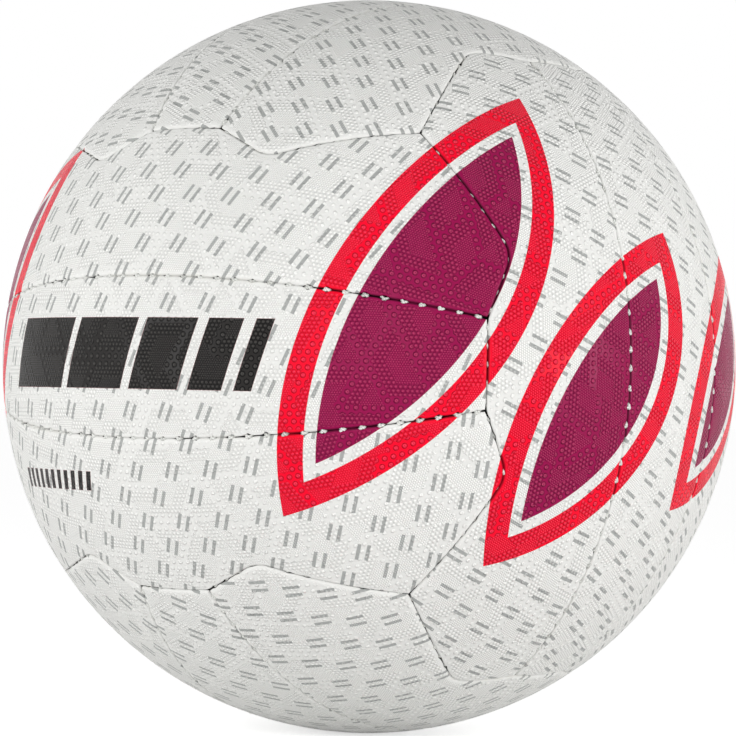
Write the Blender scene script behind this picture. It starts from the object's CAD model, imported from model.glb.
import math

import bpy
import numpy as np
from mathutils import Matrix, Vector, noise
from mathutils.geometry import delaunay_2d_cdt


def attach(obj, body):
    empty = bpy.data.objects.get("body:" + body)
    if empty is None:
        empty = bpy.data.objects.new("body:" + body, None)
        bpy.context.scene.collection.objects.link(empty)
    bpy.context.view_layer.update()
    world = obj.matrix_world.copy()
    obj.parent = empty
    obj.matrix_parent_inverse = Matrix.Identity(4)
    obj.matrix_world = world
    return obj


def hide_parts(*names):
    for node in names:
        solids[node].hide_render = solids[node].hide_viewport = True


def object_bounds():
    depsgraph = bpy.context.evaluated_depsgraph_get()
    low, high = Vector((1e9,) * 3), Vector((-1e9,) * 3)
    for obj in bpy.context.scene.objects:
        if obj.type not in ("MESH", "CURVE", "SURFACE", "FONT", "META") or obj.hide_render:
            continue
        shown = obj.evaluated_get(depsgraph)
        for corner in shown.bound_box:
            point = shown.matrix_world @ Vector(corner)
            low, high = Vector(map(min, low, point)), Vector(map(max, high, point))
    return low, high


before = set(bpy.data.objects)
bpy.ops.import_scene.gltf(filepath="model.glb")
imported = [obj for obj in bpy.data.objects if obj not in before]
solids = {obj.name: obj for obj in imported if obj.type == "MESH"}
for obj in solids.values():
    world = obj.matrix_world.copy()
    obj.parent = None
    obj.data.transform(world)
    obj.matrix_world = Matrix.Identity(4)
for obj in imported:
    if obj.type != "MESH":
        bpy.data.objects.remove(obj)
cad_box = [list(corner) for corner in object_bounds()]

# Bladder
# A balloon of thin butyl rubber, moulded and dusted with talc so that it slides in the casing.
# It fills the lining all round and holds the air.

MM = 0.001
# Size and depth of the orange-peel skin of moulded rubber, and the size of its mottle
PEEL_SIZE, PEEL_DEPTH = 0.7 * MM, 0.06 * MM
MOTTLE_SIZE = 9 * MM
NOISE_DETAIL = 3.0
# The mottle at which the dust starts and is full, and the roughness of the dust
DUST_STARTS, DUST_FULL = 0.42, 0.72
DUST_ROUGHNESS = 0.95
# The curve of a screen: a lift of the dark end, and a power
SCREEN_LIFT, SCREEN_POWER = 0.055, 2.4


def colour(red, green, blue):
    """A shader colour from the values, 0 to 255, with which it shows on a screen."""
    shares = (value / 255 for value in (red, green, blue))
    return (*(((share + SCREEN_LIFT) / (1 + SCREEN_LIFT)) ** SCREEN_POWER for share in shares), 1)


BUTYL = colour(150, 66, 52)
TALC = colour(205, 186, 172)


def feed(tree, socket, value):
    """Links a socket to an output, or sets it to a number or a colour."""
    if isinstance(value, Value):
        value = value.socket
    if isinstance(value, bpy.types.NodeSocket):
        tree.links.new(value, socket)
    elif value is not None:
        socket.default_value = value


def add_node(tree, kind, *inputs, output=0, **settings):
    """Adds a shader node, feeds its inputs in their order, and returns one of its outputs."""
    node = tree.nodes.new("ShaderNode" + kind)
    for name, value in settings.items():
        setattr(node, name, value)
    for socket, value in zip(node.inputs, inputs):
        feed(tree, socket, value)
    return node.outputs[output]


class Value:
    """A number that changes over a surface. Sums of such values add Math nodes to their tree."""

    def __init__(self, tree, socket):
        self.tree = tree
        self.socket = socket

    def math(self, operation, *others):
        return Value(self.tree, add_node(self.tree, "Math", self, *others, operation=operation))

    def __add__(self, other):
        return self.math("ADD", other)

    def __sub__(self, other):
        return self.math("SUBTRACT", other)

    def __mul__(self, other):
        return self.math("MULTIPLY", other)

    def __truediv__(self, other):
        return self.math("DIVIDE", other)

    def __abs__(self):
        return self.math("ABSOLUTE")

    def lower(self, other):
        return self.math("MINIMUM", other)

    def higher(self, other):
        return self.math("MAXIMUM", other)

    def over(self, other):
        return self.math("GREATER_THAN", other)

    def ramp(self, start, end, low=0.0, high=1.0):
        """Low up to start and high from end on, with a smooth step between them."""
        made = add_node(
            self.tree, "MapRange", self, start, end, low, high, interpolation_type="SMOOTHSTEP"
        )
        return Value(self.tree, made)

    def pick(self, low, high):
        """A value or number between low, where this is 0, and high, where it is 1."""
        return Value(self.tree, add_node(self.tree, "MapRange", self, 0.0, 1.0, low, high))


def blend_colours(tree, share, first, second):
    """The first colour where share is 0, and the second where it is 1."""
    node = tree.nodes.new("ShaderNodeMix")
    node.data_type = "RGBA"
    shown = [socket for socket in node.inputs if socket.type == "RGBA"]
    for socket, value in zip((node.inputs[0], *shown), (share, first, second)):
        feed(tree, socket, value)
    return next(socket for socket in node.outputs if socket.type == "RGBA")


def new_group(name, inputs, outputs):
    """An empty node group, with the values that it is given and the sockets that it puts out."""
    tree = bpy.data.node_groups.new(name, "ShaderNodeTree")
    for label, kind in inputs.items():
        tree.interface.new_socket(label, in_out="INPUT", socket_type="NodeSocket" + kind)
    for label, kind in outputs.items():
        tree.interface.new_socket(label, in_out="OUTPUT", socket_type="NodeSocket" + kind)
    given = tree.nodes.new("NodeGroupInput").outputs
    return tree, given, tree.nodes.new("NodeGroupOutput").inputs


def use_group(tree, group, *inputs):
    """Places a node group in a tree, feeds its inputs in their order and returns its outputs."""
    node = tree.nodes.new("ShaderNodeGroup")
    node.node_tree = group
    for socket, value in zip(node.inputs, inputs):
        feed(tree, socket, value)
    return node.outputs


def new_material(name, roughness):
    """A material, with its tree, its shader's inputs and the place on the object."""
    material = bpy.data.materials.new(name)
    material.use_nodes = True
    tree = material.node_tree
    shader = tree.nodes["Principled BSDF"].inputs
    shader["Roughness"].default_value = roughness
    return material, tree, shader, add_node(tree, "TexCoord", output="Object")


def grain_group():
    """Moulded rubber: an orange-peel skin as a height, and a mottle for its colour."""
    tree, given, made = new_group(
        "Rubber grain",
        {"Place": "Vector", "Peel size": "Float", "Mottle size": "Float"},
        {"Height": "Float", "Mottle": "Float"},
    )
    sizes = {"Height": given["Peel size"], "Mottle": given["Mottle size"]}
    for label, size in sizes.items():
        scale = Value(tree, size).math("POWER", -1.0)
        grain = add_node(tree, "TexNoise", given["Place"], None, scale, NOISE_DETAIL)
        feed(tree, made[label], grain)
    return tree


rubber_grain = grain_group()


def bump(tree, height, depth):
    """A normal from a height between 0 and 1 and its depth in metres."""
    return add_node(tree, "Bump", 1.0, depth, 1.0, height)


def rubber_material(name, main, dust, roughness, dusty):
    """Plain rubber under dust, grease, dried cement or the marks of hands, in patches."""
    material, tree, shader, place = new_material(name, roughness)
    height, mottle = use_group(tree, rubber_grain, place, PEEL_SIZE, MOTTLE_SIZE)
    share = Value(tree, mottle).ramp(DUST_STARTS, DUST_FULL, 0.0, dusty)
    feed(tree, shader["Base Color"], blend_colours(tree, share, main, dust))
    feed(tree, shader["Roughness"], share.pick(roughness, DUST_ROUGHNESS))
    feed(tree, shader["Normal"], bump(tree, height, PEEL_DEPTH))
    return material


def dress(node, material):
    """Gives a solid that stays as it is its material."""
    solids[node].data.materials.clear()
    solids[node].data.materials.append(material)


butyl_rubber = rubber_material("butyl rubber", BUTYL, TALC, roughness=0.55, dusty=0.7)
dress("bladder", butyl_rubber)

# Valve patch
# A disc of black rubber sheet, rubbed with solvent and cemented to the inside of the bladder.
# It backs the valve's flange.

BLACK_RUBBER = colour(42, 42, 43)
CEMENT = colour(104, 98, 88)

patch_rubber = rubber_material("patch rubber", BLACK_RUBBER, CEMENT, roughness=0.7, dusty=0.6)
dress("valve_patch", patch_rubber)

# Valve
# A moulded body of pale rubber, whose head lies flush in a hole of the rear middle panel, and a
# soft plug that is pushed into its barrel, greased, and takes the needle.

PALE_RUBBER = colour(222, 222, 218)
HANDLED = colour(178, 176, 170)
PLUG_GREY = colour(92, 93, 95)
GREASED = colour(60, 61, 63)

valve_rubber = rubber_material("valve rubber", PALE_RUBBER, HANDLED, roughness=0.42, dusty=0.4)
plug_rubber = rubber_material("plug rubber", PLUG_GREY, GREASED, roughness=0.3, dusty=0.8)
dress("valve_body", valve_rubber)
dress("valve_plug", plug_rubber)

# Linings
# Eighteen panels of backing: plies of polyester and cotton cloth laminated with latex, one under
# each cover and as large as its hem leaves. They stop the ball from growing out of round.

PLY_PITCH = 1.1 * MM
PLY_RELIEF = 0.2 * MM
# Sums of the waves at which the cloth is latex only, and is at the top of its threads
WEAVE_LOW, WEAVE_HIGH = -1.2, 1.4
PLY_THREAD = colour(214, 200, 168)
PLY_LATEX = colour(184, 164, 122)


def split(tree, vector):
    """The three parts of a vector, as values."""
    node = tree.nodes.new("ShaderNodeSeparateXYZ")
    feed(tree, node.inputs[0], vector)
    return [Value(tree, socket) for socket in node.outputs]


def weave_group():
    """Plain weave: the height of its threads, from three waves through the ball."""
    tree, given, made = new_group(
        "Plain weave", {"Place": "Vector", "Pitch": "Float"}, {"Height": "Float"}
    )
    across, deep, up = split(tree, given["Place"])
    warp, weft, third = (
        (value / given["Pitch"] * math.tau).math("SINE") for value in (across, up, deep)
    )
    crossed = warp * weft + weft * third + third * warp
    feed(tree, made["Height"], crossed.ramp(WEAVE_LOW, WEAVE_HIGH))
    return tree


plain_weave = weave_group()


def lining_material():
    """Laminated cloth, whose threads stand out of the latex."""
    material, tree, shader, place = new_material("laminated plies", roughness=0.85)
    threads = use_group(tree, plain_weave, place, PLY_PITCH)[0]
    feed(tree, shader["Base Color"], blend_colours(tree, threads, PLY_LATEX, PLY_THREAD))
    feed(tree, shader["Normal"], bump(tree, threads, PLY_RELIEF))
    return material


laminated_plies = lining_material()
linings = [name for name in solids if name.endswith("_lining")]
for name in linings:
    dress(name, laminated_plies)

# Cover panels
# Eighteen pieces of pimpled white rubber, cut, printed and cemented to the linings. Each edge is
# rolled down into its seam and turned in as a hem, and the stitches draw it in between them.

COVER_THICKNESS, LINING_THICKNESS = 1.6 * MM, 2.3 * MM
BALL_R = (cad_box[1][2] - cad_box[0][2]) / 2
COVER_IN_R = BALL_R - COVER_THICKNESS
CASING_IN_R = COVER_IN_R - LINING_THICKNESS
# Degrees of arc from a face's centre: half of a middle strip's width at its middle and at its
# ends, how far it reaches, the middle of the round at a side strip's ends and the radius of
# that round, and the line along the middle of a side strip
STRIP_HALF_MID, STRIP_HALF_END = 11.8, 6.5
STRIP_REACH = 53.9
TIP_ACROSS, TIP_ALONG, TIP_ROUND = 15.7, 52.7, 4.7
SIDE_MIDDLE = 24.5
# Points on a seam's arc: the fewest, and how many for each radian
ARC_LEAST, ARC_DENSITY = 8, 500
# Where three panels meet, each draws back from a small pit that runs out along its seams
CORNER_PIT, CORNER_REACH = 0.34 * MM, 1.2 * MM
# How far a lip stands back from the seam where the slit is shut and where it is open, in the
# seams beside a middle strip and in those between faces
STRIP_SLIT_SHUT, STRIP_SLIT_OPEN = 0.02 * MM, 0.82 * MM
FACE_SLIT_SHUT, FACE_SLIT_OPEN = 0.02 * MM, 0.62 * MM
# A slit opens at its stitches, and more where the seam is loose. The size and contrast of loose
# stretches, the opening at a tight stitch, what a loose one adds, and the opening between
# stitches of a loose stretch. The power keeps the opening close to its stitch.
LOOSE_SIZE, LOOSE_CONTRAST = 12 * MM, 1.5
TIGHT_SHARE, LOOSE_SHARE = 0.7, 0.5
STRIP_GAPE_SHARE, FACE_GAPE_SHARE = 0.3, 0.3
STITCH_POWER = 4
# The crown sinks a little over the roll and turns down at the lip, and stitches pucker it. The
# hem lies inside and ends in a step, and two hems stand a hair apart.
ROLL_W, ROLL_DEPTH = 2.4 * MM, 0.12 * MM
LIP_ROUND = 0.5 * MM
STRIP_LIP_DROP, FACE_LIP_DROP = 0.25 * MM, 0.42 * MM
STRIP_PUCKER, FACE_PUCKER = 0.22 * MM, 0.12 * MM
PUCKER_REACH = 1.8 * MM
STITCH_PITCH = 5.3 * MM
HEM_W, HEM_STEP = 1.75 * MM, 0.1 * MM
HEM_GAP = 0.02 * MM
# Distances from the seam at which a panel's mesh has a row of points, and their spacing
EDGE_ROWS = [distance * MM for distance in (0.55, 0.8, 1.1, 1.5, 2.1, 3.0, 4.2)]
HEM_ROWS = [HEM_W, HEM_W + HEM_STEP]
EDGE_STEP = 0.66 * MM
CROWN_STEP, INNER_STEP = 2.6 * MM, 6 * MM
# How much further apart the points of deep rows are, and the share of its distance that a point
# of a row must keep from the whole seam
THINNING_SHARE, CLEAR_SHARE = 0.15, 0.97
PLACES_AT_ONCE = 1000
TRIANGLE_HEIGHT = math.sqrt(0.75)
# The triangulation keeps what lies inside, and joins points nearer than this, in millimetres
KEEP_INSIDE, JOIN_REACH = 1, 1e-5
# The hole for the valve, its rolled rim, and the room that other points leave round it
VALVE_HOLE_R, VALVE_SIDES = 3.55 * MM, 48
VALVE_RIM = 0.35 * MM
VALVE_ROLL_W, VALVE_ROLL_DEPTH = 1.9 * VALVE_RIM, VALVE_RIM / 2
VALVE_ROOM_SHARE = 1.2
# Frames of the six faces: along the strips, across them, and out
FACES = {
    "front": ((1, 0, 0), (0, 0, 1), (0, -1, 0)),
    "rear": ((-1, 0, 0), (0, 0, 1), (0, 1, 0)),
    "right": ((0, 0, 1), (0, -1, 0), (1, 0, 0)),
    "left": ((0, 0, 1), (0, 1, 0), (-1, 0, 0)),
    "top": ((0, -1, 0), (1, 0, 0), (0, 0, 1)),
    "bottom": ((0, -1, 0), (-1, 0, 0), (0, 0, -1)),
}
# The strip on each face's +across side, and the one on the other side
SIDES = {
    "front": ("upper", "lower"),
    "rear": ("upper", "lower"),
    "right": ("front", "rear"),
    "left": ("rear", "front"),
    "top": ("right", "left"),
    "bottom": ("left", "right"),
}


def direction(across, along):
    """A direction on a face as it is drawn: X along its strips, Y across them and Z out."""
    across, along = math.radians(across), math.radians(along)
    out = math.cos(across)
    return np.array([out * math.sin(along), math.sin(across), out * math.cos(along)])


def unit(vectors):
    return vectors / np.linalg.norm(vectors, axis=-1, keepdims=True)


def arc(start, end, axis):
    """Directions close together, on the circle round an axis from start to end."""
    level = (start @ axis) * axis
    first, across = start - level, np.cross(axis, start)
    sweep = math.atan2(end @ across, (end - level) @ first)
    turns = np.linspace(0, sweep, max(ARC_LEAST, round(abs(sweep) * ARC_DENSITY)))[:, None]
    return level + np.cos(turns) * first + np.sin(turns) * across


def flank_normal(start, side):
    """The normal of the great circle from start that touches the round of a side strip's tip."""
    aside = tip - (tip @ start) * start
    lean = math.asin(math.sin(math.radians(TIP_ROUND)) / np.linalg.norm(aside))
    return math.sin(lean) * unit(aside) + side * math.cos(lean) * np.cross(start, unit(aside))


OUT = np.array([0, 0, 1])
MIRROR_X = np.array([-1, 1, 1])
MIRROR_Y = np.array([1, -1, 1])
tip = direction(TIP_ACROSS, TIP_ALONG)
face_corner = unit(np.ones(3))
seam_mid = direction(STRIP_HALF_MID, 0)
seam_end = direction(STRIP_HALF_END, STRIP_REACH)
seam_axis = unit(np.array([0, seam_mid[2] - seam_end[2], seam_end[1] - seam_mid[1]]))
end_axis = direction(0, STRIP_REACH - 90)
inner_flank = flank_normal(seam_end, 1)
outer_flank = flank_normal(face_corner, -1)
flanks = (inner_flank, outer_flank)
inner_touch, outer_touch = (unit(tip - (tip @ normal) * normal) for normal in flanks)

# The seams, as they lie in the drawn face: beside the middle strip, across its end, and round
# the end of the side strip
strip_seam = arc(seam_end * MIRROR_X, seam_end, seam_axis)
end_seam = arc(seam_end, seam_end * MIRROR_Y, end_axis)
lobe_seam = np.concatenate([
    arc(seam_end, inner_touch, inner_flank)[:-1],
    arc(inner_touch, outer_touch, tip)[:-1],
    arc(outer_touch, face_corner, outer_flank),
])


def to_next_face(points):
    """Carries points to the drawn face's neighbour across the strips."""
    return np.roll(points, -1, axis=1)


# Each panel's seams, counterclockwise from outside, and which of them are strip seams
middle_seams = [
    (strip_seam * MIRROR_Y, True),
    (end_seam[::-1], False),
    (strip_seam[::-1], True),
    (end_seam * MIRROR_X, False),
]
side_seams = [
    (strip_seam, True),
    (lobe_seam, False),
    (to_next_face(lobe_seam[::-1]), False),
    (to_next_face(end_seam), False),
    (to_next_face(lobe_seam * MIRROR_Y), False),
    ((lobe_seam * MIRROR_X)[::-1], False),
]


def walk(seam, places):
    """Points of a seam at places from 0 to 1 along its length."""
    steps = np.linalg.norm(np.diff(seam, axis=0), axis=1)
    run = np.concatenate([[0], np.cumsum(steps)])
    along = [np.interp(places * run[-1], run, seam[:, axis]) for axis in range(3)]
    return unit(np.stack(along, axis=1))


def seam_length(seam):
    return BALL_R * np.linalg.norm(np.diff(seam, axis=0), axis=1).sum()


def stitch_count(seam):
    return round(seam_length(seam) / STITCH_PITCH)


class Edge:
    """A panel's closed line of seams, and how far along its stitches each point lies."""

    def __init__(self, seams):
        points, starts, ends, strips, corners = [], [], [], [], []
        for seam, is_strip in seams:
            count = math.ceil(seam_length(seam) / EDGE_STEP)
            places = np.arange(count) / count
            points.append(walk(seam, places))
            starts.append(places * stitch_count(seam))
            ends.append((places + 1 / count) * stitch_count(seam))
            strips.append(np.full(count, is_strip))
            corners.append(np.minimum(places, 1 - places) * seam_length(seam))
        self.points = np.concatenate(points)
        self.starts, self.ends = np.concatenate(starts), np.concatenate(ends)
        self.strips, self.from_corner = np.concatenate(strips), np.concatenate(corners)
        tangents = unit(np.roll(self.points, -1, axis=0) - np.roll(self.points, 1, axis=0))
        self.inward = np.cross(self.points, tangents)

    def offset(self, distance):
        """The line moved into the panel by a distance, or by one distance for each point."""
        angle = np.reshape(distance / BALL_R, (-1, 1))
        return unit(self.points * np.cos(angle) + self.inward * np.sin(angle))

    def nearest(self, places):
        """Distances of directions to the line, how far along its stitches, and if by a strip."""
        found = []
        runs = np.roll(self.points, -1, axis=0) - self.points
        squares = (runs * runs).sum(axis=1)
        for part in np.array_split(places, math.ceil(len(places) / PLACES_AT_ONCE)):
            away = part[:, None] - self.points[None]
            shares = np.clip((away * runs).sum(axis=2) / squares, 0, 1)
            gaps = np.linalg.norm(away - shares[..., None] * runs, axis=2)
            best, rows = gaps.argmin(axis=1), np.arange(len(part))
            phases = self.starts[best] + shares[rows, best] * (self.ends - self.starts)[best]
            found.append((gaps[rows, best] * BALL_R, phases, self.strips[best]))
        return [np.concatenate(column) for column in zip(*found)]

    def row(self, distance):
        """A row of points at a distance into the panel, thinned where it turns tightly."""
        row = self.offset(np.full(len(self.points), distance))
        true = self.nearest(row)[0]
        apart = EDGE_STEP / 2 + THINNING_SHARE * distance
        kept = []
        for point in row[true > CLEAR_SHARE * distance]:
            if not kept or np.linalg.norm(point - kept[-1]) * BALL_R > apart:
                kept.append(point)
        return np.array(kept)


def pull(phases):
    """1 at a stitch and 0 between two."""
    return 0.5 - 0.5 * np.cos(math.tau * phases)


def lip_line(edge):
    """The panel's cut line, on its side of the slit."""
    held = pull(edge.starts)
    places = map(Vector, edge.points * (BALL_R / LOOSE_SIZE))
    swing = np.array([noise.noise(place) for place in places])
    loose = (0.5 + LOOSE_CONTRAST * swing).clip(0, 1)
    at_stitch = held**STITCH_POWER
    gape = STRIP_GAPE_SHARE * (2 * loose - 1).clip(0, 1) * (1 - at_stitch)
    strip_open = at_stitch * (TIGHT_SHARE + LOOSE_SHARE * loose) + gape
    strip = STRIP_SLIT_SHUT + (STRIP_SLIT_OPEN - STRIP_SLIT_SHUT) * strip_open
    face_open = loose * (FACE_GAPE_SHARE + (1 - FACE_GAPE_SHARE) * at_stitch)
    face = FACE_SLIT_SHUT + (FACE_SLIT_OPEN - FACE_SLIT_SHUT) * face_open
    pit = CORNER_PIT * np.exp(-((edge.from_corner / CORNER_REACH) ** 2))
    return edge.offset(np.where(edge.strips, strip, face) + pit)


def crown_radius(distance, phase, by_strip):
    """Radius of the cover's outside, from its distance to the seam and its place by stitches."""
    roll = np.clip(1 - distance / ROLL_W, 0, 1) ** 2 * ROLL_DEPTH
    lip_drop = np.where(by_strip, STRIP_LIP_DROP, FACE_LIP_DROP)
    lip = np.clip(1 - distance / LIP_ROUND, 0, 1) ** 2 * lip_drop
    pucker = np.where(by_strip, STRIP_PUCKER, FACE_PUCKER) * pull(phase)
    return BALL_R - roll - lip - pucker * np.exp(-((distance / PUCKER_REACH) ** 2))


class Flat:
    """The panel laid flat: millimetres along and across it, from its own middle."""

    def __init__(self, tilt):
        turn = math.radians(tilt)
        self.turn = np.array(Matrix.Rotation(turn, 3, "X"))

    def lay(self, points):
        """The places of directions on the flat panel."""
        turned = points @ self.turn.T
        along = np.arctan2(turned[:, 0], turned[:, 2])
        return np.stack([along, np.arcsin(turned[:, 1])], axis=1) * BALL_R / MM

    def raise_up(self, flat):
        """The directions of places on the flat panel."""
        along, across = (flat * MM / BALL_R).T
        out = np.cos(across)
        turned = np.stack([out * np.sin(along), np.sin(across), out * np.cos(along)], axis=1)
        return turned @ self.turn


def grid_inside(edge, flat, step, margin):
    """Points in rows inside a panel, kept off its edge."""
    low, high = (pick(flat.lay(edge.points), axis=0) for pick in (np.min, np.max))
    step = step / MM
    grid = []
    for count, across in enumerate(np.arange(low[1], high[1], step * TRIANGLE_HEIGHT)):
        along = np.arange(low[0] + (count % 2) * step / 2, high[0], step)
        grid.append(np.stack([along, np.full(len(along), across)], axis=1))
    points = flat.raise_up(np.concatenate(grid))
    points = points[lies_inside(flat.lay(points), flat.lay(edge.points))]
    return points[edge.nearest(points)[0] > margin]


def lies_inside(points, outline):
    """Which flat points lie inside a closed outline."""
    inside = np.zeros(len(points), bool)
    for (x0, y0), (x1, y1) in zip(outline, np.roll(outline, -1, axis=0)):
        crosses = (y0 > points[:, 1]) != (y1 > points[:, 1])
        if crosses.any():
            reach = x0 + (points[:, 1] - y0) * (x1 - x0) / (y1 - y0)
            inside ^= crosses & (points[:, 0] < reach)
    return inside


def ring_round_valve(radius):
    """A circle of directions round the middle of a face."""
    turns = np.arange(VALVE_SIDES) / VALVE_SIDES * math.tau
    reach = math.sin(radius / BALL_R)
    out = np.full(VALVE_SIDES, math.cos(radius / BALL_R))
    return np.stack([np.cos(turns) * reach, np.sin(turns) * reach, out], axis=1)


def skin(edge, flat, lip, rows, step, valve_rings):
    """Triangles over a panel. Its cut line comes first, then the valve's hole, and rows inside."""
    loose = [edge.row(distance) for distance in rows]
    loose.append(grid_inside(edge, flat, step, max(rows) + step / 2))
    fixed = [lip, *valve_rings[:1]]
    if valve_rings:
        room = VALVE_ROOM_SHARE * np.linalg.norm(valve_rings[-1][0] - OUT)
        loose = [part[np.linalg.norm(part - OUT, axis=1) > room] for part in loose]
    points = np.concatenate(fixed + list(valve_rings[1:]) + loose)
    loops, first = [], 0
    for loop in fixed:
        ids = np.arange(len(loop)) + first
        loops += list(zip(ids.tolist(), np.roll(ids, -1).tolist()))
        first += len(loop)
    laid = [Vector(place) for place in flat.lay(points)]
    _, _, faces, origins, *_ = delaunay_2d_cdt(laid, loops, [], KEEP_INSIDE, JOIN_REACH)
    triangles = np.array([[origins[corner][0] for corner in face] for face in faces])
    if valve_rings:
        on_hole = (triangles >= len(lip)) & (triangles < first)
        triangles = triangles[~on_hole.all(axis=1)]
    used = np.union1d(np.arange(first), triangles)
    return points[used], outward(points[used], np.searchsorted(used, triangles))


def outward(points, triangles):
    """The triangles, each turned so that its front faces away from the ball's centre."""
    a, b, c = (points[triangles[:, i]] for i in range(3))
    facing = (np.cross(b - a, c - a) * a).sum(axis=1)
    triangles[facing < 0] = triangles[facing < 0][:, ::-1]
    return triangles


def wall(top, bottom, count):
    """Faces down from one loop of points to another, whose first points are top and bottom."""
    ring = np.arange(count)
    following = np.roll(ring, -1)
    return np.stack([top + ring, bottom + ring, bottom + following, top + following], axis=1)


def panel_mesh(name, seams, tilt, valved):
    """A cover panel in its drawn face: rolled crown outside, hem and inside, and cut edge."""
    edge, flat = Edge(seams), Flat(tilt)
    lip = lip_line(edge)
    hole = [ring_round_valve(VALVE_HOLE_R + rim) for rim in (0, VALVE_RIM, 2 * VALVE_RIM)]
    top, faces = skin(edge, flat, lip, EDGE_ROWS, CROWN_STEP, hole if valved else [])
    distance, phase, by_strip = edge.nearest(top)
    outside = crown_radius(distance, phase, by_strip)
    if valved:
        from_rim = BALL_R * np.linalg.norm(top - OUT, axis=1) - VALVE_HOLE_R
        outside -= VALVE_ROLL_DEPTH * np.clip(1 - from_rim / VALVE_ROLL_W, 0, 1) ** 2
    hem = edge.offset(np.full(len(lip), HEM_GAP))
    under, inner_faces = skin(edge, flat, hem, HEM_ROWS, INNER_STEP, hole[:1] if valved else [])
    inner_distance = edge.nearest(under)[0]
    inside = np.where(inner_distance < HEM_W + HEM_STEP / 2, CASING_IN_R, COVER_IN_R)
    sides = [faces, inner_faces[:, ::-1] + len(top), wall(0, len(top), len(lip))]
    if valved:
        sides.append(wall(len(lip), len(top) + len(lip), len(hole[0]))[:, ::-1])
    mesh = bpy.data.meshes.new(name)
    points = np.concatenate([top * outside[:, None], under * inside[:, None]])
    mesh.from_pydata(points.tolist(), [], [face for side in sides for face in side.tolist()])
    mesh.shade_smooth()
    add_flat_map(mesh, "Panel", flat.lay(np.concatenate([top, under])))
    from_seam = mesh.attributes.new("from_seam", "FLOAT", "POINT")
    distances = np.concatenate([distance, inner_distance]) / MM
    from_seam.data.foreach_set("value", distances.astype(np.float32))
    return mesh


def add_flat_map(mesh, name, places):
    """Adds a flat map to a mesh, from one place for each of its points."""
    corners = np.zeros(len(mesh.loops), int)
    mesh.loops.foreach_get("vertex_index", corners)
    layer = mesh.uv_layers.new(name=name)
    layer.data.foreach_set("uv", places[corners].astype(np.float32).ravel())


meshes = {
    "middle": panel_mesh("middle panel", middle_seams, tilt=0, valved=False),
    "valved": panel_mesh("valved panel", middle_seams, tilt=0, valved=True),
    "side": panel_mesh("side panel", side_seams, tilt=SIDE_MIDDLE, valved=False),
}

# Pimples, in millimetres on the flat panel. Triangles tile it, each with fine, medium and big
# pimples from a corner to the opposite side. Shares are of the pitch or of the triangle.
ZONE_HEIGHT = 12.0
FINE_REACH_SHARE, MEDIUM_REACH_SHARE = 0.5, 0.78
PITCHES = (0.72, 1.3, 2.45)
PIMPLE_TOP_SHARE, RIM_WIDTH_SHARE = 0.14, 0.08
DIMPLE_SHARE, DIMPLE_DEPTH_SHARE = 0.11, 0.6
# For fine, medium and big pimples: the foot's radius, the height, and how strong the rim, the
# hollow and the crest show
FOOT_SHARES = (0.46, 0.46, 0.3)
HEIGHT_SHARES = (0.45, 0.8, 1.0)
RIM_SHARES = (0.5, 0.9, 1.0)
HOLLOW_SHARES = (0.85, 0.85, 0.66)
CREST_SHARES = (0.8, 0.85, 1.0)
PIMPLE_DEPTH = 0.32 * MM
# Near the seam the panel is smooth and of one tone, and the pimples start further in
SMOOTH_TONE = 0.53
PIMPLES_START, PIMPLES_FULL = 0.6, 1.7
# A triangle's pimples start from one of its three corners, by chance
CORNER_CHANCES = (0.33, 0.67)


def from_whole(value):
    """How far a value lies from the nearest whole number."""
    return value - value.math("ROUND")


def diagonal(first, second):
    return (first * first + second * second).math("SQRT")


def off_pimple(along, across, pitch):
    """How far a point lies from the nearest pimple of staggered rows, as a share of the pitch."""
    along, across = along / pitch, across / pitch / math.sqrt(3)
    nearest = [
        diagonal(from_whole(along + stagger), from_whole(across + stagger) * math.sqrt(3))
        for stagger in (0.0, 0.5)
    ]
    return nearest[0].lower(nearest[1])


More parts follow.
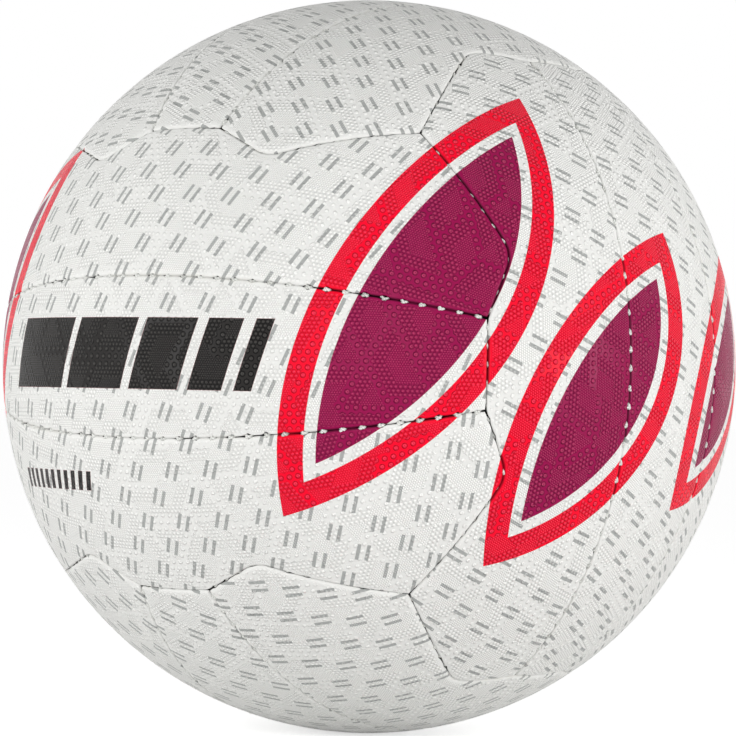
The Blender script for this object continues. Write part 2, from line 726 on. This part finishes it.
def pimple_group():
    """Round pimples on a flat panel, their dark rims, and the hollows between them."""
    tree, given, made = new_group(
        "Pimples",
        {"Flat": "Vector", "From seam": "Float"},
        {"Height": "Float", "Rim": "Float", "Hollow": "Float", "Crest": "Float"},
    )
    along, across, _ = split(tree, given["Flat"])
    first = across / ZONE_HEIGHT
    second = along * (TRIANGLE_HEIGHT / ZONE_HEIGHT) - across * (0.5 / ZONE_HEIGHT)
    third = (first + second) * -1.0
    families = [first, second, third]
    fractions = [family.math("FRACT") for family in families]
    # They add up to 1 in a triangle that points up, and to 2 in one that points down
    upward = (fractions[0] + fractions[1] + fractions[2]).math("LESS_THAN", 1.5)
    reaches = [upward.pick(share, share * -1.0 + 1.0) for share in fractions]
    cell = add_node(tree, "CombineXYZ", *(family.math("FLOOR") for family in families))
    chance = Value(tree, add_node(tree, "TexWhiteNoise", cell, noise_dimensions="3D"))
    second_corner, third_corner = (chance.over(limit) for limit in CORNER_CHANCES)
    reach = third_corner.pick(second_corner.pick(reaches[0], reaches[1]), reaches[2])
    is_big = reach.over(MEDIUM_REACH_SHARE)
    is_coarse = reach.over(FINE_REACH_SHARE)

    def by_size(fine, medium, big):
        return is_coarse.pick(fine, is_big.pick(medium, big))

    away = off_pimple(along, across, by_size(*PITCHES))
    foot = by_size(*FOOT_SHARES)
    shown = Value(tree, given["From seam"]).ramp(PIMPLES_START, PIMPLES_FULL)
    dome = away.ramp(PIMPLE_TOP_SHARE, foot, 1.0, 0.0)
    crest = dome - away.ramp(0.0, DIMPLE_SHARE, DIMPLE_DEPTH_SHARE, 0.0) * is_big
    inner_rim = away.ramp(foot - RIM_WIDTH_SHARE, foot)
    rim = inner_rim * away.ramp(foot, foot + RIM_WIDTH_SHARE, 1.0, 0.0)
    feed(tree, made["Height"], crest * shown * by_size(*HEIGHT_SHARES))
    feed(tree, made["Rim"], rim * shown * by_size(*RIM_SHARES))
    hollow = (crest * -1.0 + 1.0) * by_size(*HOLLOW_SHARES)
    feed(tree, made["Hollow"], shown.pick(SMOOTH_TONE, hollow))
    feed(tree, made["Crest"], crest * crest * shown * by_size(*CREST_SHARES))
    return tree


pimples = pimple_group()

# Small twin dashes, printed in staggered rows on the flat panel, in millimetres: the pitch of
# the pairs, the size of a dash and the gap between two
DASH_ALONG, DASH_ACROSS = 12.5, 7.6
DASH_LENGTH, DASH_WIDTH, DASH_GAP = 4.6, 1.05, 2.7
DASH_LEAN = math.radians(24)
DASH_END_SLANT = 0.35
# The blur of every printed edge
INK_EDGE = 0.08


def dash_group():
    """Twin leaning dashes in staggered rows, as a mask."""
    tree, given, made = new_group("Twin dashes", {"Flat": "Vector"}, {"Mask": "Float"})
    along, across, _ = split(tree, given["Flat"])
    row = (across / DASH_ACROSS).math("ROUND")
    x = from_whole(along / DASH_ALONG + row * 0.5) * DASH_ALONG
    y = across - row * DASH_ACROSS
    lean_x = x * math.cos(DASH_LEAN) - y * math.sin(DASH_LEAN)
    twin = abs(abs(lean_x) - DASH_GAP / 2) - DASH_WIDTH / 2
    edge = twin.higher(abs(y + lean_x * DASH_END_SLANT) - DASH_LENGTH / 2)
    feed(tree, made["Mask"], edge.ramp(-INK_EDGE, INK_EDGE, 1.0, 0.0))
    return tree


twin_dashes = dash_group()

# The large print, laid on the ball in millimetres round it and up it: a ring of leaning petals
# with a white line and a red border, and bare black blocks on the front
PETAL_LEAN = math.radians(33)
# Each petal's place round the ball from the front's middle and up, and its width and length
PETALS = [
    (89.0, 20.0, 34.0, 116.0),
    (143.0, -9.0, 27.0, 84.0),
    (209.0, -2.0, 22.0, 62.0),
    (281.0, 12.0, 27.0, 92.0),
    (-261.0, 20.0, 34.0, 116.0),
    (-207.0, -9.0, 27.0, 84.0),
    (-95.0, 12.0, 27.0, 92.0),
]
LINE_W, BORDER_W = 3.6, 7.5
# The blocks' place up and their height and lean, where they start and the gap between them, and
# the like for the ticks
BLOCK_UP, BLOCK_HEIGHT, BLOCK_LEAN = 1.0, 20.0, 0.32
BLOCK_START, BLOCK_GAP = -55.0, 4.0
BLOCK_WIDTHS = (28.0, 22.0, 16.0, 10.0, 5.0)
TICK_START, TICK_UP, TICK_HEIGHT = -63.0, -36.0, 5.8
TICK_PITCH, TICK_WIDTH, TICK_COUNT = 4.1, 2.2, 11


def leaning_box(x, y, centre_x, centre_y, width, height, lean):
    """How far a point lies outside a leaning block, in millimetres, and less than 0 inside."""
    aside = abs(x - y * lean - centre_x) / math.hypot(1, lean) - width / 2
    return aside.higher(abs(y - centre_y) - height / 2)


def petal(x, y, centre_x, centre_y, width, length):
    """How far a point lies outside a leaning petal, whose two sides are arcs of a circle."""
    right, up = x - centre_x, y - centre_y
    along = right * math.sin(PETAL_LEAN) + up * math.cos(PETAL_LEAN)
    across = abs(right * math.cos(PETAL_LEAN) - up * math.sin(PETAL_LEAN))
    radius = (length**2 + width**2) / (4 * width)
    return diagonal(across + (radius - width / 2), along) - radius


def united(shapes):
    """How far a point lies outside the nearest of several shapes."""
    nearest, *others = shapes
    for shape in others:
        nearest = nearest.lower(shape)
    return nearest


def print_group():
    """Where the large print is red, burgundy and black."""
    tree, given, made = new_group(
        "Large print",
        {"Place": "Vector"},
        {"Red": "Float", "Burgundy": "Float", "Black": "Float"},
    )
    x, y, z = split(tree, given["Place"])
    turn = x.math("ARCTAN2", y * -1.0)
    up = (z / BALL_R).math("ARCSINE") * (BALL_R / MM)
    around = turn * (BALL_R / MM)
    petals = united(petal(around, up, *sizes) for sizes in PETALS)
    blocks, start = [], BLOCK_START
    for width in BLOCK_WIDTHS:
        box = (start + width / 2, BLOCK_UP, width, BLOCK_HEIGHT)
        blocks.append(leaning_box(around, up, *box, BLOCK_LEAN))
        start += width + BLOCK_GAP
    from_ticks = around - up * BLOCK_LEAN - (TICK_START - TICK_UP * BLOCK_LEAN)
    tick = (from_ticks / TICK_PITCH).math("ROUND").lower(TICK_COUNT - 1).higher(0.0)
    ticks = (abs(from_ticks - tick * TICK_PITCH) - TICK_WIDTH / 2).higher(
        abs(up - TICK_UP) - TICK_HEIGHT / 2
    )
    black = united([*blocks, ticks])
    outer = LINE_W + BORDER_W
    border = petals.ramp(LINE_W - INK_EDGE, LINE_W + INK_EDGE)
    feed(tree, made["Burgundy"], petals.ramp(-INK_EDGE, INK_EDGE, 1.0, 0.0))
    feed(tree, made["Red"], border * petals.ramp(outer - INK_EDGE, outer + INK_EDGE, 1.0, 0.0))
    feed(tree, made["Black"], black.ramp(-INK_EDGE, INK_EDGE, 1.0, 0.0))
    return tree


large_print = print_group()

COVER_WHITE = colour(252, 252, 249)
WHITE_HOLLOW = colour(214, 214, 211)
DASH_GREY = colour(165, 167, 165)
PRINT_RED = colour(251, 10, 47)
PRINT_BURGUNDY = colour(150, 16, 76)
PRINT_BLACK = colour(46, 44, 43)
# How far a pimple's crest takes its paler colour, and its rim and the hollows their darker one
INK_CREST, INK_CREST_SHARE = colour(255, 110, 150), 0.26
INK_SHADE, INK_RIM_SHARE, INK_HOLLOW_SHARE = colour(20, 14, 18), 0.46, 0.08
BLACK_CREST, BLACK_CREST_SHARE = colour(98, 96, 93), 0.5
BLACK_SHADE, BLACK_RIM_SHARE, BLACK_HOLLOW_SHARE = colour(5, 5, 5), 1.4, 0.15
# The grey print is thinner on the crests
CREST_PRINT_SHARE = 0.62
# Dirt gathers along the seam where the mottle is high, and a crease is darker, most in the inks
SEAM_STAIN = colour(208, 206, 198)
STAIN_REACH, STAIN_SHARE = 1.2, 0.35
STAIN_STARTS, STAIN_FULL = 0.5, 0.65
CREASE_CORE, CREASE_EDGE = 0.2, 0.75
INK_CREASE, WHITE_CREASE = 0.64, 0.06
# The walls of a slit, below its lip, are bare and dark
SLIT_DARK = colour(30, 29, 28)
SLIT_EDGE = 0.6
SLIT_SHADE_TOP, SLIT_SHADE_FULL = 0.5 * MM, 0.85 * MM
COVER_PEEL_SIZE, COVER_MOTTLE_SIZE = 0.4 * MM, 30 * MM
COVER_PEEL_SHARE = 0.08
COVER_GLOSS = 0.08
COVER_ROUGHNESS, INK_ROUGHNESS = 0.5, 0.3
ROUGHNESS_SWING = 0.05
INK_RELIEF = 1.6


def cover_material():
    """Pimpled and printed rubber, stained along its seams and dark in its slits."""
    material, tree, shader, place = new_material("pimpled rubber", COVER_ROUGHNESS)
    shader["Specular IOR Level"].default_value = COVER_GLOSS
    flat = add_node(tree, "UVMap", uv_map="Panel")
    from_seam = Value(tree, add_node(tree, "Attribute", attribute_name="from_seam", output="Fac"))
    pimple_values = use_group(tree, pimples, flat, from_seam)
    height, rim, hollow, crest = (Value(tree, socket) for socket in pimple_values)
    dashes = Value(tree, use_group(tree, twin_dashes, flat)[0])
    red, burgundy, black = (Value(tree, socket) for socket in use_group(tree, large_print, place))
    grain = use_group(tree, rubber_grain, place, COVER_PEEL_SIZE, COVER_MOTTLE_SIZE)
    peel, mottle = (Value(tree, socket) for socket in grain)

    white = blend_colours(tree, hollow, COVER_WHITE, WHITE_HOLLOW)
    white = blend_colours(tree, dashes * crest.pick(1.0, CREST_PRINT_SHARE), white, DASH_GREY)
    crease = from_seam.ramp(CREASE_CORE, CREASE_EDGE, 1.0, 0.0)
    stained = mottle.ramp(STAIN_STARTS, STAIN_FULL)
    stain = from_seam.ramp(0.0, STAIN_REACH, STAIN_SHARE, 0.0) * stained
    white = blend_colours(tree, stain, white, SEAM_STAIN)
    white = blend_colours(tree, crease * WHITE_CREASE, white, SLIT_DARK)
    ink = blend_colours(tree, burgundy, PRINT_RED, PRINT_BURGUNDY)
    ink = blend_colours(tree, crest * INK_CREST_SHARE, ink, INK_CREST)
    shade = rim * INK_RIM_SHARE + hollow * INK_HOLLOW_SHARE
    ink = blend_colours(tree, shade, ink, INK_SHADE)
    black_ink = blend_colours(tree, crest * BLACK_CREST_SHARE, PRINT_BLACK, BLACK_CREST)
    shade = rim * BLACK_RIM_SHARE + hollow * BLACK_HOLLOW_SHARE
    black_ink = blend_colours(tree, shade, black_ink, BLACK_SHADE)
    ink = blend_colours(tree, black, ink, black_ink)
    ink = blend_colours(tree, crease * INK_CREASE, ink, INK_SHADE)
    inked = red.higher(burgundy).higher(black)
    shown = blend_colours(tree, inked, white, ink)
    reach = add_node(tree, "VectorMath", place, operation="LENGTH", output="Value")
    depth = Value(tree, reach) * -1.0 + BALL_R
    by_slit = from_seam.ramp(SLIT_EDGE, 2 * SLIT_EDGE, 1.0, 0.0)
    in_slit = depth.ramp(SLIT_SHADE_TOP, SLIT_SHADE_FULL) * by_slit
    feed(tree, shader["Base Color"], blend_colours(tree, in_slit, shown, SLIT_DARK))

    uneven = mottle.pick(-ROUGHNESS_SWING, ROUGHNESS_SWING)
    feed(tree, shader["Roughness"], inked.pick(COVER_ROUGHNESS, INK_ROUGHNESS) + uneven)
    relief = (height + peel * COVER_PEEL_SHARE) * inked.pick(1.0, INK_RELIEF)
    feed(tree, shader["Normal"], bump(tree, relief, PIMPLE_DEPTH))
    return material


pimpled_rubber = cover_material()


def face_matrix(face, turned=False):
    """Carries the drawn face to one of the six, turned half round for the strip opposite."""
    along, across, out = (Vector(axis) for axis in FACES[face])
    if turned:
        along, across = -along, -across
    return Matrix((along, across, out)).transposed().to_4x4()


def add_piece(name, mesh, material, node):
    """Links a mesh as a piece that stands for a node."""
    piece = bpy.data.objects.new(name, mesh)
    bpy.context.scene.collection.objects.link(piece)
    mesh.materials.clear()
    mesh.materials.append(material)
    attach(piece, "root")
    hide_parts(node)


for face in FACES:
    strips = {"middle": "valved" if face == "rear" else "middle"}
    strips.update({strip: "side" for strip in SIDES[face]})
    for strip, kind in strips.items():
        mesh = meshes[kind].copy()
        mesh.transform(face_matrix(face, turned=strip == SIDES[face][1]))
        node = f"{face}_{strip}_cover"
        add_piece(node.replace("cover", "panel"), mesh, pimpled_rubber, node)

# Stitches
# Waxed polyester thread, sewn by hand through the hems. What shows is a short leaning stitch at
# each hole, which dives into the slit at both ends.

THREAD_R = 0.4 * MM
STITCH_RINGS, STITCH_SIDES = 8, 8
# A strand dives at both ends by a steep curve, and thins there
STITCH_DIVE, DIVE_POWER = 1.2 * MM, 4
END_TAPER_SHARE = 0.3
# How far strands stray along the seam, and how much their thickness and lean vary
STITCH_SHIFT = 0.3 * MM
THICKNESS_SPREAD, LEAN_SPREAD = 0.15, 0.4
# The share of a pitch over which a stitch takes the seam's direction
AIM_SHARE = 0.1
# Length, depth of the top under the crown, lean, and place across the slit of the strands that
# show at each stitch
STRIP_STRANDS = [
    (2.3 * MM, 0.45 * MM, 0.45 * MM, -0.2 * MM),
    (1.9 * MM, 0.55 * MM, -0.5 * MM, -0.02 * MM),
]
FACE_STRANDS = [(2.0 * MM, 0.95 * MM, 0.3 * MM, 0.0)]
# How much deeper or higher a stitch may lie
FACE_UNEVEN, STRIP_UNEVEN = 0.3 * MM, 0.12 * MM
THREAD_WHITE = colour(234, 235, 231)
THREAD_WAX = colour(170, 171, 165)
# The thread's twist: its turns along and round a strand, the waves' low and high, and its depth
TWIST_ALONG, TWIST_ROUND = 5.0, 2.0
TWIST_LOW, TWIST_HIGH = -1.0, 0.6
TWIST_DEPTH = 0.1 * MM
# Wax lies in patches, and in the grooves of the twist
WAX_SIZE = 6 * MM
WAX_STARTS, WAX_FULL = 0.4, 0.7
WAX_SHARE, GROOVE_SHARE = 0.5, 0.5
# One seed, so that every run sews the same stitches
rng = np.random.default_rng(7)


def stitch_frames(seam):
    """Middle and direction of each stitch in a seam of the drawn face."""
    count = stitch_count(seam)
    places = (np.arange(count) + 0.5) / count
    step = AIM_SHARE / count
    return walk(seam, places), unit(walk(seam, places + step) - walk(seam, places - step))


def vary(spread):
    """A random factor, within a spread round 1."""
    return rng.uniform(1 - spread, 1 + spread)


def strand_points(middle, along, length, depth, lean, aside):
    """Rings of points round the bowed line of one strand of a stitch."""
    across = np.cross(middle, along)
    share = np.linspace(-1, 1, STITCH_RINGS)[:, None]
    dive = share**DIVE_POWER
    line = (
        middle * (BALL_R - depth - STITCH_DIVE * dive)
        + along * (share * length / 2 + rng.uniform(-STITCH_SHIFT, STITCH_SHIFT))
        + across * (share * lean * vary(LEAN_SPREAD) + aside)
    )
    thick = THREAD_R * (1 - END_TAPER_SHARE * dive) * vary(THICKNESS_SPREAD)
    ahead = unit(np.gradient(line, axis=0))
    side = unit(np.cross(ahead, middle))
    rise = np.cross(side, ahead)
    turns = np.arange(STITCH_SIDES) / STITCH_SIDES * math.tau
    rings = (
        line[:, None]
        + np.cos(turns)[:, None] * (side * thick)[:, None]
        + np.sin(turns)[:, None] * (rise * thick)[:, None]
    )
    return rings.reshape(-1, 3)


def stitch_mesh(name, seams, strands, uneven):
    """All stitches of one kind of seam on the six faces, as closed tubes."""
    points = []
    drawn = [pair for seam in seams for pair in zip(*stitch_frames(seam))]
    for face in FACES:
        turn = np.array(face_matrix(face).to_3x3())
        for middle, along in drawn:
            sunk = rng.uniform(-uneven, uneven)
            for length, depth, lean, aside in strands:
                strand = strand_points(middle, along, length, depth + sunk, lean, aside)
                points.append(strand @ turn.T)
    ring = np.arange(STITCH_SIDES)
    following = np.roll(ring, -1)
    band = np.stack([ring, following, following + STITCH_SIDES, ring + STITCH_SIDES], axis=1)
    tube = np.concatenate([band + row * STITCH_SIDES for row in range(STITCH_RINGS - 1)])
    each = STITCH_RINGS * STITCH_SIDES
    faces = []
    for first in range(0, len(points) * each, each):
        faces += (tube + first).tolist()
        faces.append((ring[::-1] + first).tolist())
        faces.append((ring + first + each - STITCH_SIDES).tolist())
    mesh = bpy.data.meshes.new(name)
    mesh.from_pydata(np.concatenate(points).tolist(), [], faces)
    mesh.shade_smooth()
    rings, sides = np.divmod(np.arange(len(mesh.vertices)) % each, STITCH_SIDES)
    add_flat_map(mesh, "Thread", np.stack([rings / STITCH_RINGS, sides / STITCH_SIDES], axis=1))
    return mesh


def thread_material():
    """Twisted white thread, greyed by its wax."""
    material, tree, shader, place = new_material("waxed thread", roughness=0.5)
    along, around, _ = split(tree, add_node(tree, "UVMap", uv_map="Thread"))
    turns = along * TWIST_ALONG + around * TWIST_ROUND
    twist = (turns * math.tau).math("SINE").ramp(TWIST_LOW, TWIST_HIGH)
    mottle = Value(tree, use_group(tree, rubber_grain, place, PEEL_SIZE, WAX_SIZE)[1])
    waxed = mottle.ramp(WAX_STARTS, WAX_FULL) * WAX_SHARE + twist.pick(GROOVE_SHARE, 0.0)
    feed(tree, shader["Base Color"], blend_colours(tree, waxed, THREAD_WHITE, THREAD_WAX))
    feed(tree, shader["Normal"], bump(tree, twist, TWIST_DEPTH))
    return material


waxed_thread = thread_material()
strip_seams = [strip_seam, strip_seam * MIRROR_Y]
lobe_seams = [lobe_seam * mirror for mirror in (1, MIRROR_X, MIRROR_Y, MIRROR_X * MIRROR_Y)]
stitches = {
    "strip_seam": (strip_seams, STRIP_STRANDS, STRIP_UNEVEN),
    "face_seam": ([end_seam, end_seam * MIRROR_X, *lobe_seams], FACE_STRANDS, FACE_UNEVEN),
}
for name, how in stitches.items():
    mesh = stitch_mesh(name + " stitches", *how)
    add_piece(name + "_stitches", mesh, waxed_thread, name + "_thread")

# Studio
# A white floor that keeps the ball's shadow, a pale surround that is brightest at the horizon,
# three soft lamps, and the camera at the photograph's angle.

scene = bpy.context.scene
scene.view_settings.view_transform = "Standard"

FLOOR_SIZE = 60.0
FLOOR_WHITE = colour(244, 244, 244)
# What the eye sees of the floor beyond its light, and the surround's light at its two ends
FLOOR_LIFT = 0.6
HORIZON_LIGHT, ZENITH_LIGHT = 1.0, 0.175


def seen_directly(tree):
    """1 where the camera, a reflection or a clear view sees a surface, and 0 for its light."""
    path = tree.nodes.new("ShaderNodeLightPath").outputs
    seen = Value(tree, path["Is Camera Ray"]).higher(path["Is Transmission Ray"])
    return seen.higher(path["Is Glossy Ray"])


def floor_material():
    """White, a little brighter to the eye than its light, and clear from below."""
    material, tree, shader, _ = new_material("white floor", roughness=0.9)
    shader["Base Color"].default_value = FLOOR_WHITE
    shader["Specular IOR Level"].default_value = 0.0
    below = tree.nodes.new("ShaderNodeNewGeometry").outputs["Backfacing"]
    feed(tree, shader["Alpha"], Value(tree, below) * -1.0 + 1.0)
    shader["Emission Color"].default_value = (1, 1, 1, 1)
    feed(tree, shader["Emission Strength"], seen_directly(tree) * FLOOR_LIFT)
    return material


floor_mesh = bpy.data.meshes.new("floor")
reach = FLOOR_SIZE / 2
corners = [(x * reach, y * reach, -BALL_R) for x, y in ((-1, -1), (1, -1), (1, 1), (-1, 1))]
floor_mesh.from_pydata(corners, [], [(0, 1, 2, 3)])
floor_mesh.materials.append(floor_material())
floor = bpy.data.objects.new("floor", floor_mesh)
scene.collection.objects.link(floor)


def light_world():
    """White where the camera and reflections see it, and a soft gradient as light."""
    world = bpy.data.worlds.new("studio")
    scene.world = world
    world.use_nodes = True
    tree = world.node_tree
    _, _, up = split(tree, add_node(tree, "TexCoord", output="Generated"))
    lit = up.ramp(0.0, 1.0, HORIZON_LIGHT, ZENITH_LIGHT)
    background = tree.nodes["Background"].inputs
    feed(tree, background["Strength"], seen_directly(tree).pick(lit, 1.0))
    background["Color"].default_value = (1, 1, 1, 1)


light_world()

# The camera fits the photograph's seams. It stands at an azimuth and elevation in degrees, rolled
# a little, and its focal length and the offset of its middle are in the photograph's pixels.
CAMERA_AZIMUTH, CAMERA_ELEVATION, CAMERA_ROLL = 36.97, -0.79, 1.42
CAMERA_DISTANCE = 8.82 * BALL_R
PHOTO_SIZE = 736
PHOTO_FOCUS = 3211
PHOTO_OFFSET = (1.1, -1.3)
SENSOR = 36.0

camera_data = bpy.data.cameras.new("camera")
camera_data.sensor_width = SENSOR
camera_data.lens = SENSOR * PHOTO_FOCUS / PHOTO_SIZE
camera_data.shift_x = -PHOTO_OFFSET[0] / PHOTO_SIZE
camera_data.shift_y = PHOTO_OFFSET[1] / PHOTO_SIZE
camera = bpy.data.objects.new("camera", camera_data)
scene.collection.objects.link(camera)
stand = Matrix.Rotation(math.radians(CAMERA_AZIMUTH), 4, "Z")
tilt = Matrix.Rotation(math.radians(90 - CAMERA_ELEVATION), 4, "X")
roll = Matrix.Rotation(math.radians(CAMERA_ROLL), 4, "Z")
camera.matrix_world = stand @ tilt @ roll @ Matrix.Translation((0, 0, CAMERA_DISTANCE))
scene.camera = camera


def add_softbox(name, azimuth, elevation, distance, size, watts):
    """A square lamp that looks at the ball's centre, from an angle round it and above it."""
    around, above = math.radians(azimuth), math.radians(elevation)
    level = math.cos(above)
    out = Vector((math.sin(around) * level, -math.cos(around) * level, math.sin(above)))
    data = bpy.data.lights.new(name, "AREA")
    data.size = size
    data.energy = watts
    lamp = bpy.data.objects.new(name, data)
    lamp.location = out * distance
    lamp.rotation_euler = (-out).to_track_quat("-Z", "Y").to_euler()
    scene.collection.objects.link(lamp)


add_softbox("left softbox", azimuth=-25, elevation=2, distance=1.2, size=0.5, watts=6.0)
add_softbox("right softbox", azimuth=100, elevation=2, distance=1.2, size=0.4, watts=5.8)
add_softbox("front softbox", azimuth=37, elevation=5, distance=1.5, size=0.8, watts=6.0)
